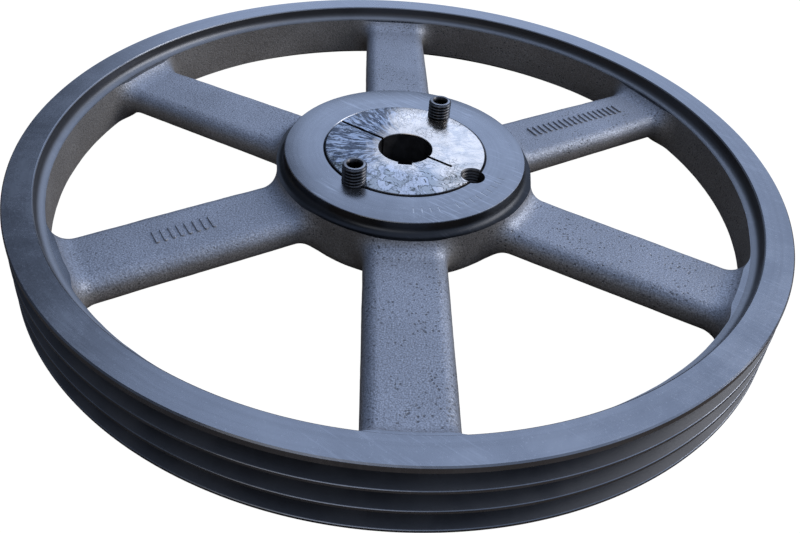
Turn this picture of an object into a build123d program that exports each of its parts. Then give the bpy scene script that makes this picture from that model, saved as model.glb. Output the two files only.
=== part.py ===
from build123d import *
import math
import os

# Three-groove V belt pulley, six arms, with a split taper bush and two locking
# set screws.  Millimetres, degrees unless wrapped in math.radians.  +Z is the
# pulley's axis, pointing out of the side the bush is fitted from; the origin is
# on the axis, midway across the rim.  Profiles are lists of (radius, height).

# ---- rim and belt grooves --------------------------------------------------
DATUM_DIA = 500.0            # datum (pitch) diameter
DATUM_DEPTH = 2.75           # datum line below the rim's outside
RIM_R = DATUM_DIA / 2 + DATUM_DEPTH
RIM_HALF = 25.0              # half of the face width
RIM_CHAMFER = 0.8            # break on the rim's outer corners
RIM_CAST_R = RIM_R - 16.5    # outside of the cast ring, within the turned rim
GROOVE_COUNT = 3
GROOVE_PITCH = 15.0
TOP_GROOVE_Z = 14.0          # centre of the topmost groove
DATUM_W = 11.0               # groove width at the datum line
GROOVE_TAN = math.tan(math.radians(19.0))   # slope of a groove's flank
GROOVE_DEPTH = 13.75
EDGE_BREAK = 0.35            # radial break on the ridge edges
RIDGE_BREAK = EDGE_BREAK * 0.6   # the same break, measured along the ridge
ROOT_BREAK = 0.8             # radial break in the groove's root corners
ROOT_BREAK_W = 0.7           # the same break, measured across the root

RELIEF_R = 235.0             # turned recess inside the rim, top face
RELIEF_DEPTH_TOP = 10.0
RELIEF_DEPTH_BOTTOM = 9.5
RELIEF_CORNER = 5.5
RELIEF_CHAMFER = 0.8
BACK_CONE_R = 247.5          # coned recess of the bottom face, where it meets the face
WALL_R_TOP = 229.4           # as-cast inner wall of the rim, drafted
WALL_R_BOTTOM = 231.0
WALL_Z_TOP = RIM_HALF - RELIEF_DEPTH_TOP
WALL_Z_BOTTOM = -RIM_HALF + RELIEF_DEPTH_BOTTOM
RECESS_CUT_R = WALL_R_TOP - 30.0   # inner limit of both recess cutters

# ---- hub -------------------------------------------------------------------
HUB_TOP = 26.0
HUB_BOTTOM = -25.0
CORED_R = 30.0               # hole left in the barrel before boring
FLANGE_R = 81.3              # turned collar at the top of the hub
FLANGE_CHAMFER = 0.8
COLLAR_Z = 16.7              # height the turned collar runs down to
COLLAR_FILLET = 4.5          # its concave root
COLLAR_CUT_R = 112.0         # outer limit of the collar's cutter
BARREL_R_TOP = 88.0          # as-cast barrel, drafted
BARREL_R_BOTTOM = 80.4
BARREL_CORNER = 13.0         # rounding round its lower end

# ---- arms ------------------------------------------------------------------
ARM_ANGLES = (33.7, 94.9, 155.5, 213.8, 274.0, 334.0)   # as cast
ARM_STATIONS = ((60.0, 52.2), (233.0, 50.2))   # (radius, width) of the lofted sections
ARM_TOP = 9.6
ARM_T = 19.7
ARM_MID_Z = ARM_TOP - ARM_T / 2
ARM_EDGE_R = 9.3
FILLET_HUB = 12.0
FILLET_RIM = 14.5
HUB_JOINT_RADII = (74.0, 90.0)     # where the arm-to-barrel edges are looked for
RIM_JOINT_RADII = (222.0, 232.5)   # where the arm-to-rim edges are looked for

# ---- taper bush ------------------------------------------------------------
TAPER_TAN = math.tan(math.radians(4.0))    # half of the 8 degree included taper
BUSH_R = 53.975              # large end
BUSH_LEN = 50.8
BUSH_TOP = HUB_TOP + 1.0     # rest height: 1 mm still to be drawn in
BUSH_BOTTOM = BUSH_TOP - BUSH_LEN
BUSH_TOP_BREAK = 0.5
BUSH_BOTTOM_BREAK = 0.8
SEAT_GAP = 0.09              # radial gap between the cones at rest
MOUTH_R = 55.5               # bevel at the mouth of the taper bore
MOUTH_DEPTH = 1.4
BORE_R = 18.256              # shaft bore, 1 7/16 in
BORE_BREAK = 0.6
KEY_W = 9.525                # 3/8 in key
KEY_DEPTH = 2.54             # below the bore's surface
KEY_ANGLE = 272.0
SPLIT_W = 2.3
SPLIT_ANGLE = 150.0          # full split
SLOT_ANGLE = 330.3           # relief slot opposite it
SLOT_R = 36.6
SLOT_START_R = 5.0           # all three slots are cut from inside the bore

# ---- screw holes on the joint line of bush and hub --------------------------
HOLE_CIRCLE_R = 52.4
SCREW_ANGLES = (65.3, 234.0)
JACK_ANGLE = 330.5
HOLE_R = 8.03
HOLE_FLOOR = -7.0

# ---- locking set screws, 5/8 in Whitworth ----------------------------------
SCREW_R = 7.94
SCREW_PITCH = 2.309
SCREW_MINOR_R = SCREW_R - 1.36     # thread root
SCREW_LEN = 31.75
SCREW_TOP = 39.0
SCREW_TIP = SCREW_TOP - SCREW_LEN
TIP_BREAK, TIP_BREAK_H = 1.4, 1.2  # bevel at the tip: radial, axial
THREAD_START = 1.6           # first thread above the tip
HEAD_BREAK_H = 1.0           # bevel at the top end
HEAD_R = SCREW_MINOR_R + 0.4 # radius of the top face
THREAD_RUNOUT = 1.1          # threads end at least this far below the top
CREST_START, CREST_END, THREAD_END = 0.42, 0.58, 0.96   # fractions of the pitch
SOCKET_AF = 7.94             # hexagon across flats
SOCKET_DEPTH = 10.5
SOCKET_MOUTH_R = 5.4         # countersunk mouth of the socket
SOCKET_MOUTH_DEPTH = 2.6
MOUTH_FLARE = 0.5            # widening of its cutter above the top face

# ---- plain raised bars on two arms ------------------------------------------
BAR_H = 1.0
BAR_SINK = 0.6               # depth the bars are sunk in the arm
BAR_W = 2.4
BAR_CORNER = BAR_W / 2 - 0.05
BAR_PITCH = 5.0
# (arm index, first radius, count, offset across the arm, length)
BAR_ROWS = ((3, 138.0, 8, 0.4, 12.0), (0, 114.0, 18, 1.6, 11.0))

# ---- shallow stamped dashes on the hub's face --------------------------------
STAMP_ANGLES = [277.0 + 4.5 * i for i in range(4)] + [301.0 + 4.6 * i for i in range(9)]
STAMP_R_INNER, STAMP_R_OUTER = 66.5, 71.5
STAMP_W = 0.9
STAMP_DEPTH = 0.15

# ---- how far cutters run past the faces they cut -----------------------------
OVERRUN = 1.0
LONG_OVERRUN = 5.0


# ---- shared helpers ----------------------------------------------------------
def revolve_profile(points):
    """Solid of revolution about Z from a closed (radius, height) outline."""
    return revolve(make_face(Polyline(*[(r, 0, z) for r, z in points], close=True)), Axis.Z)


def quarter_arc(centre_r, centre_z, radius, start, steps=8):
    """Profile points of a quarter turn from the start angle, without its first point."""
    angles = [math.radians(start + 90 * i / steps) for i in range(1, steps + 1)]
    return [(centre_r + radius * math.cos(a), centre_z + radius * math.sin(a)) for a in angles]


def on_hole_circle(angle, z=0.0):
    """Location on the screw-hole circle."""
    a = math.radians(angle)
    return Pos(HOLE_CIRCLE_R * math.cos(a), HOLE_CIRCLE_R * math.sin(a), z)


def radial_box(angle, r0, r1, width, z0, z1):
    """Box reaching radially from r0 to r1 at the given angle."""
    box = Box(r1 - r0, width, z1 - z0)
    return Rot(0, 0, angle) * Pos((r0 + r1) / 2, 0, (z0 + z1) / 2) * box


def cut_screw_holes(body, top):
    """Cut the blind holes shared by hub and bush, half in each."""
    for angle in SCREW_ANGLES + (JACK_ANGLE,):
        place = on_hole_circle(angle, (HOLE_FLOOR + top) / 2)
        body = body - place * Cylinder(HOLE_R, top - HOLE_FLOOR)
    return body


# ---- pulley casting ----------------------------------------------------------
def make_cast_ring():
    """Rim ring, its drafted inner wall carried on to both faces."""
    draft = (WALL_R_BOTTOM - WALL_R_TOP) / (WALL_Z_TOP - WALL_Z_BOTTOM)
    return revolve_profile([
        (RIM_CAST_R, RIM_HALF),
        (RIM_CAST_R, -RIM_HALF),
        (WALL_R_BOTTOM + draft * RELIEF_DEPTH_BOTTOM, -RIM_HALF),
        (WALL_R_TOP - draft * RELIEF_DEPTH_TOP, RIM_HALF),
    ])


def make_barrel():
    barrel = revolve_profile([
        (CORED_R, HUB_TOP), (CORED_R, HUB_BOTTOM),
        (BARREL_R_BOTTOM, HUB_BOTTOM), (BARREL_R_TOP, HUB_TOP),
    ])
    # the length limit leaves out the edge of the central hole
    lower = [e for e in barrel.edges()
             if abs(e.center().Z - HUB_BOTTOM) < 0.1 and e.length > 400]
    return fillet(lower, BARREL_CORNER)


def make_arm(angle):
    sections = []
    for r, width in ARM_STATIONS:
        plane = Plane(origin=(r, 0, ARM_MID_Z), x_dir=(0, 1, 0), z_dir=(1, 0, 0))
        sections.append(plane * RectangleRounded(width, ARM_T, ARM_EDGE_R))
    return Rot(0, 0, angle) * loft(sections)


def runs_along_arm(edge):
    """True for an edge that runs along an arm, rather than round its section."""
    start, end = edge @ 0, edge @ 1
    return abs(math.hypot(start.X, start.Y) - math.hypot(end.X, end.Y)) > 20.0


def joint_edges(shape, radii):
    """Edges round the arms' sections whose centres lie between two radii."""
    found = []
    for edge in shape.edges():
        centre = edge.center()
        at_arm_height = abs(centre.Z - ARM_MID_Z) <= ARM_T / 2 + 0.6
        in_band = radii[0] < math.hypot(centre.X, centre.Y) < radii[1]
        if at_arm_height and in_band and edge.length < 60 and not runs_along_arm(edge):
            found.append(edge)
    return found


def nearest_edge(shape, point):
    return min(shape.edges(), key=lambda e: (e.center() - point).length)


def make_blank():
    """The casting before turning: plain rim ring, barrel and six filleted arms."""
    blank = make_cast_ring() + make_barrel()
    for arm in [make_arm(angle) for angle in ARM_ANGLES]:
        blank = blank + arm
    hub_edges = joint_edges(blank, HUB_JOINT_RADII)
    blank = fillet(joint_edges(blank, RIM_JOINT_RADII), FILLET_RIM)
    # the rim fillets rebuild the solid, so the hub edges are found again by centre
    hub_edges = [nearest_edge(blank, e.center()) for e in hub_edges]
    return fillet(hub_edges, FILLET_HUB)


# ---- pulley turning and details ----------------------------------------------
def rim_outline():
    """Outer outline of the rim from its top corner to its bottom corner."""
    half_top = DATUM_W / 2 + DATUM_DEPTH * GROOVE_TAN
    half_root = half_top - GROOVE_DEPTH * GROOVE_TAN
    root_r = RIM_R - GROOVE_DEPTH
    # (radius, height above the groove's centre) down the upper flank
    flank = [
        (RIM_R, half_top + RIDGE_BREAK),
        (RIM_R - EDGE_BREAK, half_top - EDGE_BREAK * GROOVE_TAN),
        (root_r + ROOT_BREAK, half_root + ROOT_BREAK * GROOVE_TAN),
        (root_r, half_root - ROOT_BREAK_W),
    ]
    points = [(RIM_R - RIM_CHAMFER, RIM_HALF), (RIM_R, RIM_HALF - RIM_CHAMFER)]
    for i in range(GROOVE_COUNT):
        centre = TOP_GROOVE_Z - GROOVE_PITCH * i
        points += [(r, centre + z) for r, z in flank]
        points += [(r, centre - z) for r, z in reversed(flank)]
    points += [(RIM_R, -RIM_HALF + RIM_CHAMFER), (RIM_R - RIM_CHAMFER, -RIM_HALF)]
    return points


def top_recess():
    corner_r = RELIEF_R - RELIEF_CORNER
    mouth_r = RELIEF_R + RELIEF_CHAMFER
    return revolve_profile([
        (RECESS_CUT_R, RIM_HALF + LONG_OVERRUN),
        (RECESS_CUT_R, WALL_Z_TOP),
        (corner_r, WALL_Z_TOP),
        *quarter_arc(corner_r, WALL_Z_TOP + RELIEF_CORNER, RELIEF_CORNER, -90),
        (RELIEF_R, RIM_HALF - RELIEF_CHAMFER),
        (mouth_r, RIM_HALF),
        (mouth_r, RIM_HALF + LONG_OVERRUN),
    ])


def bottom_recess():
    return revolve_profile([
        (RECESS_CUT_R, -RIM_HALF - LONG_OVERRUN),
        (RECESS_CUT_R, WALL_Z_BOTTOM),
        (WALL_R_BOTTOM, WALL_Z_BOTTOM),
        (BACK_CONE_R, -RIM_HALF),
        (BACK_CONE_R, -RIM_HALF - LONG_OVERRUN),
    ])


def collar_cut():
    """Cutter round the hub's collar, running out in a concave root."""
    root_z = COLLAR_Z + COLLAR_FILLET
    return revolve_profile([
        (FLANGE_R - FLANGE_CHAMFER, HUB_TOP + LONG_OVERRUN),
        (FLANGE_R - FLANGE_CHAMFER, HUB_TOP),
        (FLANGE_R, HUB_TOP - FLANGE_CHAMFER),
        (FLANGE_R, root_z),
        *quarter_arc(FLANGE_R + COLLAR_FILLET, root_z, COLLAR_FILLET, 180),
        (COLLAR_CUT_R, COLLAR_Z),
        (COLLAR_CUT_R, HUB_TOP + LONG_OVERRUN),
    ])


def seat_radius(z):
    """Radius of the hub's taper bore at a height."""
    return BUSH_R + SEAT_GAP - (BUSH_TOP - z) * TAPER_TAN


def taper_bore():
    bottom = HUB_BOTTOM - OVERRUN
    mouth_z = HUB_TOP - MOUTH_DEPTH
    return revolve_profile([
        (0, bottom), (seat_radius(bottom), bottom), (seat_radius(mouth_z), mouth_z),
        (MOUTH_R, HUB_TOP), (MOUTH_R, HUB_TOP + OVERRUN), (0, HUB_TOP + OVERRUN),
    ])


def raised_bar(angle, r, offset, length):
    """Plain raised bar across an arm."""
    outline = RectangleRounded(BAR_W, length, BAR_CORNER)
    bar = Pos(r, offset, ARM_TOP - BAR_SINK) * extrude(outline, BAR_H + BAR_SINK)
    return Rot(0, 0, angle) * bar


def make_pulley():
    blank = make_blank()
    rim = revolve_profile(rim_outline() + [(RELIEF_R, -RIM_HALF), (RELIEF_R, RIM_HALF)])
    body = blank + rim
    body = body - top_recess() - bottom_recess()
    body = body - collar_cut()
    body = body - taper_bore()
    body = cut_screw_holes(body, HUB_TOP + LONG_OVERRUN)
    for arm, first_r, count, offset, length in BAR_ROWS:
        for i in range(count):
            body = body + raised_bar(ARM_ANGLES[arm], first_r + BAR_PITCH * i, offset, length)
    for angle in STAMP_ANGLES:
        body = body - radial_box(angle, STAMP_R_INNER, STAMP_R_OUTER, STAMP_W,
                                 HUB_TOP - STAMP_DEPTH, HUB_TOP + OVERRUN)
    return body


# ---- taper bush --------------------------------------------------------------
def make_bush():
    small_r = BUSH_R - BUSH_LEN * TAPER_TAN
    body = revolve_profile([
        (BORE_R + BORE_BREAK, BUSH_TOP),
        (BORE_R, BUSH_TOP - BORE_BREAK),
        (BORE_R, BUSH_BOTTOM + BORE_BREAK),
        (BORE_R + BORE_BREAK, BUSH_BOTTOM),
        (small_r - BUSH_BOTTOM_BREAK, BUSH_BOTTOM),
        (small_r + BUSH_BOTTOM_BREAK * TAPER_TAN, BUSH_BOTTOM + BUSH_BOTTOM_BREAK),
        (BUSH_R - BUSH_TOP_BREAK * TAPER_TAN, BUSH_TOP - BUSH_TOP_BREAK),
        (BUSH_R - BUSH_TOP_BREAK, BUSH_TOP),
    ])
    # (angle, outer radius, width) of the keyway, the full split and the relief slot
    slots = (
        (KEY_ANGLE, BORE_R + KEY_DEPTH, KEY_W),
        (SPLIT_ANGLE, BUSH_R + LONG_OVERRUN, SPLIT_W),
        (SLOT_ANGLE, SLOT_R, SPLIT_W),
    )
    for angle, outer_r, width in slots:
        body = body - radial_box(angle, SLOT_START_R, outer_r, width,
                                 BUSH_BOTTOM - OVERRUN, BUSH_TOP + OVERRUN)
    return cut_screw_holes(body, BUSH_TOP + LONG_OVERRUN)


# ---- locking screws ----------------------------------------------------------
def screw_outline():
    """Half outline of the screw; the thread is a stack of separate rings."""
    points = [
        (0, SCREW_TIP),
        (SCREW_MINOR_R - TIP_BREAK, SCREW_TIP),
        (SCREW_MINOR_R, SCREW_TIP + TIP_BREAK_H),
    ]
    z = SCREW_TIP + THREAD_START
    while z + SCREW_PITCH < SCREW_TOP - THREAD_RUNOUT:
        points += [
            (SCREW_MINOR_R, z),
            (SCREW_R, z + SCREW_PITCH * CREST_START),
            (SCREW_R, z + SCREW_PITCH * CREST_END),
            (SCREW_MINOR_R, z + SCREW_PITCH * THREAD_END),
        ]
        z += SCREW_PITCH
    return points + [(SCREW_R, SCREW_TOP - HEAD_BREAK_H), (HEAD_R, SCREW_TOP), (0, SCREW_TOP)]


def make_screw(angle):
    body = revolve_profile(screw_outline())
    hexagon = RegularPolygon(SOCKET_AF / 2, 6, major_radius=False)
    socket = Pos(0, 0, SCREW_TOP - SOCKET_DEPTH) * extrude(hexagon, SOCKET_DEPTH + OVERRUN)
    mouth = revolve_profile([
        (0, SCREW_TOP + OVERRUN),
        (SOCKET_MOUTH_R + MOUTH_FLARE, SCREW_TOP + OVERRUN),
        (SOCKET_MOUTH_R, SCREW_TOP),
        (SOCKET_AF / 2, SCREW_TOP - SOCKET_MOUTH_DEPTH),
        (0, SCREW_TOP - SOCKET_MOUTH_DEPTH),
    ])
    return on_hole_circle(angle) * (body - socket - mouth)


pieces = {
    "pulley_wheel": make_pulley(),
    "taper_bush": make_bush(),
    "locking_screw_a": make_screw(SCREW_ANGLES[0]),
    "locking_screw_b": make_screw(SCREW_ANGLES[1]),
}
os.makedirs("parts", exist_ok=True)
for name, shape in pieces.items():
    export_step(shape, os.path.join("parts", name + ".step"))
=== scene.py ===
import math

import bpy
import numpy as np
from mathutils import Matrix, Vector


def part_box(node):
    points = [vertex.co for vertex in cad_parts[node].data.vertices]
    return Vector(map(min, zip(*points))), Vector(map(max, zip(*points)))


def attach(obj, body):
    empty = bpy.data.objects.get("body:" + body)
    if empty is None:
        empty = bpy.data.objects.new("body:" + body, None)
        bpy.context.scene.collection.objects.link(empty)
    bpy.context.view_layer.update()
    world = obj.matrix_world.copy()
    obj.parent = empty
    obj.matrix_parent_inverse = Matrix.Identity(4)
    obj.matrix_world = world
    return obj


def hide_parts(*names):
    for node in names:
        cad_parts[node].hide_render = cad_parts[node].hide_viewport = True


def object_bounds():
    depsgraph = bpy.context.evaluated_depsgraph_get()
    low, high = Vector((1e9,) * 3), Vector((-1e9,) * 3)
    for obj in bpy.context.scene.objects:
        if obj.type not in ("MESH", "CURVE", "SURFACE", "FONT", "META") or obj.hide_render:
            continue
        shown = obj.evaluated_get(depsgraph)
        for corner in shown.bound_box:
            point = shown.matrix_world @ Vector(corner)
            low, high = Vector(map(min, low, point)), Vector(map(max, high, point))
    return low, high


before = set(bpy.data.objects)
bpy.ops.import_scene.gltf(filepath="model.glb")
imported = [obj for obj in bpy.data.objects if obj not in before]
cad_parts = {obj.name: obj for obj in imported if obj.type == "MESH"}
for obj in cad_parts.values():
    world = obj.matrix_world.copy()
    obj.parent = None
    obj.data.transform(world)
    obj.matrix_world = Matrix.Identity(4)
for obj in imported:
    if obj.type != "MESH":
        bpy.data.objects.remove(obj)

cad_lo, cad_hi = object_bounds()

MM = 0.001

# --------------------------------------------------------------------------
# Key dimensions, millimetres.  The outer ones are read off the frame, so the
# visible pieces keep to the solids they stand for.
# --------------------------------------------------------------------------
w_lo, w_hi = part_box("pulley_wheel")
b_lo, b_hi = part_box("taper_bush")
RIM_R = round(float(w_hi.x) * 1000 * 4) / 4          # 252.75
RIM_HALF = -round(float(w_lo.z) * 1000, 3)           # 25
HUB_TOP = round(float(w_hi.z) * 1000, 3)             # 26
BUSH_TOP = round(float(b_hi.z) * 1000, 3)            # 27
BUSH_BOTTOM = round(float(b_lo.z) * 1000, 3)         # -23.8

GROOVE_Z = (14.0, -1.0, -16.0)
DATUM_W, DATUM_DEPTH = 11.0, 2.75
GROOVE_HALF = math.radians(19.0)
GROOVE_DEPTH = 13.75
EDGE_BREAK = 0.35
RIM_CHAMFER = 0.8
RELIEF_R = 235.0
RELIEF_CORNER = 5.5
WALL_R_TOP, WALL_Z_TOP = 229.4, 15.0
WALL_R_BOTTOM, WALL_Z_BOTTOM = 231.0, -15.5
BACK_CONE_R = 247.5
FLANGE_R, COLLAR_Z, COLLAR_FILLET = 81.3, 16.7, 4.5
BARREL_R_TOP, BARREL_R_BOTTOM, BARREL_CORNER = 88.0, 80.4, 13.0
ARM_ANGLES = (33.7, 94.9, 155.5, 213.8, 274.0, 334.0)
ARM_W_HUB, ARM_W_RIM = 52.2, 50.2
ARM_TOP, ARM_T, ARM_EDGE_R = 9.6, 19.7, 9.3
FILLET_HUB, FILLET_RIM = 12.0, 14.5
TAPER = math.radians(4.0)
BUSH_R, SEAT_GAP = 53.975, 0.09
MOUTH_R, MOUTH_DEPTH = 55.5, 1.4
BORE_R, KEY_W, KEY_DEPTH, KEY_ANGLE = 18.256, 9.525, 2.54, 272.0
SPLIT_W, SPLIT_ANGLE, SLOT_ANGLE, SLOT_R = 2.3, 150.0, 330.3, 36.6
HOLE_CIRCLE_R, HOLE_R, HOLE_FLOOR = 52.4, 8.03, -7.0
SCREW_ANGLES, JACK_ANGLE = (65.3, 234.0), 330.5
SCREW_R, SCREW_PITCH, SCREW_THREAD = 7.94, 2.309, 1.36
SCREW_LEN, SOCKET_AF, SOCKET_DEPTH = 31.75, 7.94, 10.5
SOCKET_MOUTH_R, SOCKET_MOUTH_DEPTH = 5.4, 2.6

BAR_W, BAR_RISE, BAR_PITCH = 2.4, 1.0, 5.0
BAR_ROWS = ((3, 138.0, 8, 0.4, 12.0), (0, 114.0, 18, 1.6, 11.0))
STAMP_ANGLES = tuple(277.0 + 4.5 * i for i in range(4)) + tuple(301.0 + 4.6 * i for i in range(9))
STAMP_W, STAMP_DEPTH = 0.9, 0.15

# material slots shared by every mesh of the wheel and the bush
CAST, TURNED, GROOVE, RECESS, SEAT, FACE, COLLAR, STAMP = range(8)


# --------------------------------------------------------------------------
# Mesh helpers
# --------------------------------------------------------------------------
def add_object(name, verts, faces, mats=None, face_mats=None):
    """verts in mm -> object with its mesh in metres, linked to the scene."""
    mesh = bpy.data.meshes.new(name)
    v = np.asarray(verts, float) * MM
    if isinstance(faces, np.ndarray):
        n, k = faces.shape
        mesh.vertices.add(len(v))
        mesh.vertices.foreach_set("co", v.astype(np.float32).ravel())
        mesh.loops.add(n * k)
        mesh.loops.foreach_set("vertex_index", faces.astype(np.int32).ravel())
        mesh.polygons.add(n)
        mesh.polygons.foreach_set("loop_start", np.arange(0, n * k, k, dtype=np.int32))
        mesh.update(calc_edges=True)
    else:
        mesh.from_pydata([tuple(p) for p in v], [], [list(f) for f in faces])
        mesh.update()
    obj = bpy.data.objects.new(name, mesh)
    bpy.context.scene.collection.objects.link(obj)
    for m in mats or []:
        mesh.materials.append(m)
    if face_mats is not None:
        mesh.polygons.foreach_set("material_index", np.asarray(face_mats, np.int32))
    return obj


def lathe(name, outline, segments, mats=None, seg_mats=None, phase=0.0):
    """Closed ring turned from an outline of (radius, height) points, none of them on the axis."""
    pts = np.array(outline, float)
    area = np.sum(pts[:, 0] * np.roll(pts[:, 1], -1) - np.roll(pts[:, 0], -1) * pts[:, 1])
    seg = list(seg_mats) if seg_mats is not None else [0] * len(pts)
    if area < 0:                      # make it run counter-clockwise in the (r, z) plane
        pts = pts[::-1]
        seg = seg[::-1]
        seg = seg[1:] + seg[:1]
    n = len(pts)
    a = phase + np.arange(segments) * 2 * math.pi / segments
    verts = np.stack([np.outer(np.cos(a), pts[:, 0]), np.outer(np.sin(a), pts[:, 0]),
                      np.tile(pts[:, 1], (segments, 1))], -1).reshape(-1, 3)
    i = np.arange(segments)[:, None]
    j = np.arange(n)[None]
    i2, j2 = (i + 1) % segments, (j + 1) % n
    faces = np.stack([(i * n + j), (i2 * n + j), (i2 * n + j2), (i * n + j2)], -1).reshape(-1, 4)
    return add_object(name, verts, faces, mats, np.tile(np.array(seg), segments))


def disc_stack(name, rings, mats=None, ring_mats=None, cap_mats=(0, 0)):
    """Closed solid from a stack of equal-count rings (each an n x 3 array), capped by fans at both ends."""
    n = len(rings[0])
    verts = np.concatenate([np.asarray(r, float) for r in rings])
    faces, fm = [], []
    for k in range(len(rings) - 1):
        for i in range(n):
            i2 = (i + 1) % n
            faces.append((k * n + i, k * n + i2, (k + 1) * n + i2, (k + 1) * n + i))
            fm.append(ring_mats[k] if ring_mats is not None else 0)
    lo, hi = np.mean(rings[0], 0), np.mean(rings[-1], 0)
    verts = np.concatenate([verts, [lo, hi]])
    a, b = len(verts) - 2, len(verts) - 1
    last = (len(rings) - 1) * n
    for i in range(n):
        i2 = (i + 1) % n
        faces.append((a, i2, i))
        fm.append(cap_mats[0])
        faces.append((b, last + i, last + i2))
        fm.append(cap_mats[1])
    return add_object(name, verts, faces, mats, fm)


def at_angle(points, angle, radius=0.0, z=0.0):
    """Turns points about Z by angle after moving them out along +X."""
    p = np.array(points, float) + np.array([radius, 0, z])
    c, s = math.cos(math.radians(angle)), math.sin(math.radians(angle))
    return np.stack([p[:, 0] * c - p[:, 1] * s, p[:, 0] * s + p[:, 1] * c, p[:, 2]], -1)


def box_points(x0, x1, y0, y1, z0, z1):
    v = [(x0, y0, z0), (x1, y0, z0), (x1, y1, z0), (x0, y1, z0),
         (x0, y0, z1), (x1, y0, z1), (x1, y1, z1), (x0, y1, z1)]
    f = [(0, 3, 2, 1), (4, 5, 6, 7), (0, 1, 5, 4), (1, 2, 6, 5), (2, 3, 7, 6), (3, 0, 4, 7)]
    return np.array(v, float), f


def joined(name, parts, mats=None):
    """One object from (verts, faces, material index) parts."""
    verts, faces, fm, base = [], [], [], 0
    for v, f, m in parts:
        verts.append(np.asarray(v, float))
        for face in f:
            faces.append(tuple(int(q) + base for q in face))
            fm.append(m)
        base += len(v)
    return add_object(name, np.concatenate(verts), faces, mats, fm)


def cylinder_part(radius, angle, circle_r, z0, z1, n=72, drill=0.0, profile=None):
    """Closed cylinder on the hole circle; drill adds a conical end; profile gives (z, radius) rings instead."""
    rows = profile if profile is not None else [(z0, radius), (z1, radius)]
    a = np.arange(n) * 2 * math.pi / n
    verts, faces = [], []
    for z, r in rows:
        verts += [(r * math.cos(t), r * math.sin(t), z) for t in a]
    m = len(rows)
    verts += [(0, 0, rows[0][0] - drill), (0, 0, rows[-1][0])]
    for k in range(m - 1):
        for i in range(n):
            i2 = (i + 1) % n
            faces.append((k * n + i, k * n + i2, (k + 1) * n + i2, (k + 1) * n + i))
    for i in range(n):
        i2 = (i + 1) % n
        faces.append((m * n, i2, i))
        faces.append((m * n + 1, (m - 1) * n + i, (m - 1) * n + i2))
    return at_angle(verts, angle, circle_r), faces


def boolean(obj, other, operation):
    """Applies a boolean and removes the other object."""
    mod = obj.modifiers.new("cut", "BOOLEAN")
    mod.operation = operation
    mod.solver = "MANIFOLD"
    mod.object = other
    bpy.context.view_layer.update()
    dg = bpy.context.evaluated_depsgraph_get()
    mesh = bpy.data.meshes.new_from_object(obj.evaluated_get(dg), depsgraph=dg)
    obj.modifiers.remove(mod)
    old = obj.data
    obj.data = mesh
    bpy.data.meshes.remove(old)
    bpy.data.objects.remove(other)
    return obj


def shade(obj, angle=28.0):
    """Smooth faces, with sharp edges by angle and wherever two finishes meet."""
    mesh = obj.data
    mesh.polygons.foreach_set("use_smooth", [True] * len(mesh.polygons))
    ne = len(mesh.edges)
    nl = len(mesh.loops)
    le = np.zeros(nl, np.int32)
    mesh.loops.foreach_get("edge_index", le)
    npoly = len(mesh.polygons)
    tot = np.zeros(npoly, np.int32)
    mesh.polygons.foreach_get("loop_total", tot)
    lp = np.repeat(np.arange(npoly), tot)
    normals = np.zeros(npoly * 3)
    mesh.polygons.foreach_get("normal", normals)
    normals = normals.reshape(-1, 3)
    mi = np.zeros(npoly, np.int32)
    mesh.polygons.foreach_get("material_index", mi)
    order = np.argsort(le, kind="stable")
    es, ps = le[order], lp[order]
    same = np.nonzero(es[1:] == es[:-1])[0]
    e, a, b = es[same], ps[same], ps[same + 1]
    cosine = (normals[a] * normals[b]).sum(1)
    split = (cosine < math.cos(math.radians(angle))) | ((mi[a] != mi[b]) & (cosine < math.cos(math.radians(6.0))))
    sharp = np.zeros(ne, bool)
    sharp[e[split]] = True
    attribute = mesh.attributes.get("sharp_edge") or mesh.attributes.new("sharp_edge", "BOOLEAN", "EDGE")
    attribute.data.foreach_set("value", sharp)
    mesh.update()
    return obj


# --------------------------------------------------------------------------
# Value noise on a seeded lattice
# --------------------------------------------------------------------------
_lattice = np.random.RandomState(20611).rand(64, 64, 64).astype(np.float32) * 2 - 1


def value_noise(p, wavelength, offset=0.0):
    q = p / wavelength + offset + 100.0
    i = np.floor(q).astype(int)
    f = q - i
    f = f * f * f * (f * (f * 6 - 15) + 10)
    out = 0.0
    for dx in (0, 1):
        for dy in (0, 1):
            for dz in (0, 1):
                w = ((f[:, 0] if dx else 1 - f[:, 0]) * (f[:, 1] if dy else 1 - f[:, 1])
                     * (f[:, 2] if dz else 1 - f[:, 2]))
                out = out + w * _lattice[(i[:, 0] + dx) % 64, (i[:, 1] + dy) % 64, (i[:, 2] + dz) % 64]
    return out


# --------------------------------------------------------------------------
# The casting as it leaves the sand: a distance field, then an even quad mesh
# --------------------------------------------------------------------------
def round_union(a, b, r):
    u, v = np.maximum(r - a, 0), np.maximum(r - b, 0)
    return np.maximum(r, np.minimum(a, b)) - np.sqrt(u * u + v * v)


def round_cut(a, b, r):
    u, v = np.maximum(r + a, 0), np.maximum(r + b, 0)
    return np.minimum(-r, np.maximum(a, b)) + np.sqrt(u * u + v * v)


WALL_SLOPE = (WALL_R_BOTTOM - WALL_R_TOP) / (WALL_Z_TOP - WALL_Z_BOTTOM)
BARREL_SLOPE = (BARREL_R_TOP - BARREL_R_BOTTOM) / (HUB_TOP + RIM_HALF)


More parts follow.
